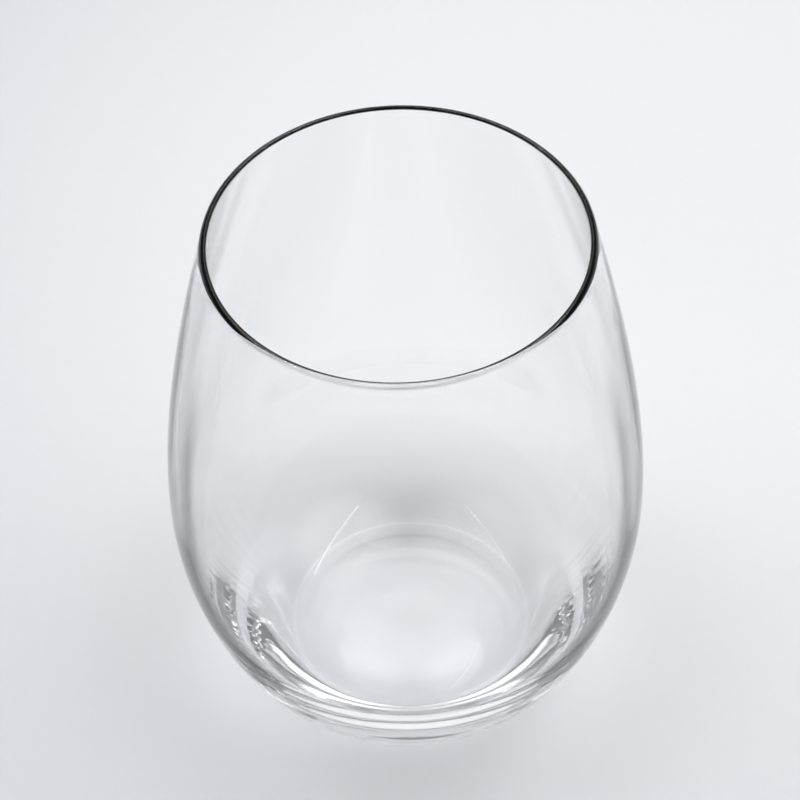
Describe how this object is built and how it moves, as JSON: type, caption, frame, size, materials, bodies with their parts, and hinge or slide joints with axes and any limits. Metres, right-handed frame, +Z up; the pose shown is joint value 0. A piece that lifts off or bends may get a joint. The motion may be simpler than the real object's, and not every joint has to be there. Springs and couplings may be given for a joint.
{
  "type": "stemless wine glass",
  "caption": "Stemless wine glass: a clear egg-shaped bowl with a narrow fire-polished lip and a thick base with a shallow punt that stands on a flat ring.",
  "frame": {"origin": "centre of the foot, in the plane of the surface that the glass stands on", "axes": "+Z up along the axis of the glass; the glass is round, so X and Y are free"},
  "size_m": [0.09, 0.09, 0.114],
  "materials": {
    "glass": "clear, fire polished"
  },
  "bodies": {
    "root": {"glass": "glass"}
  },
  "joints": []
}
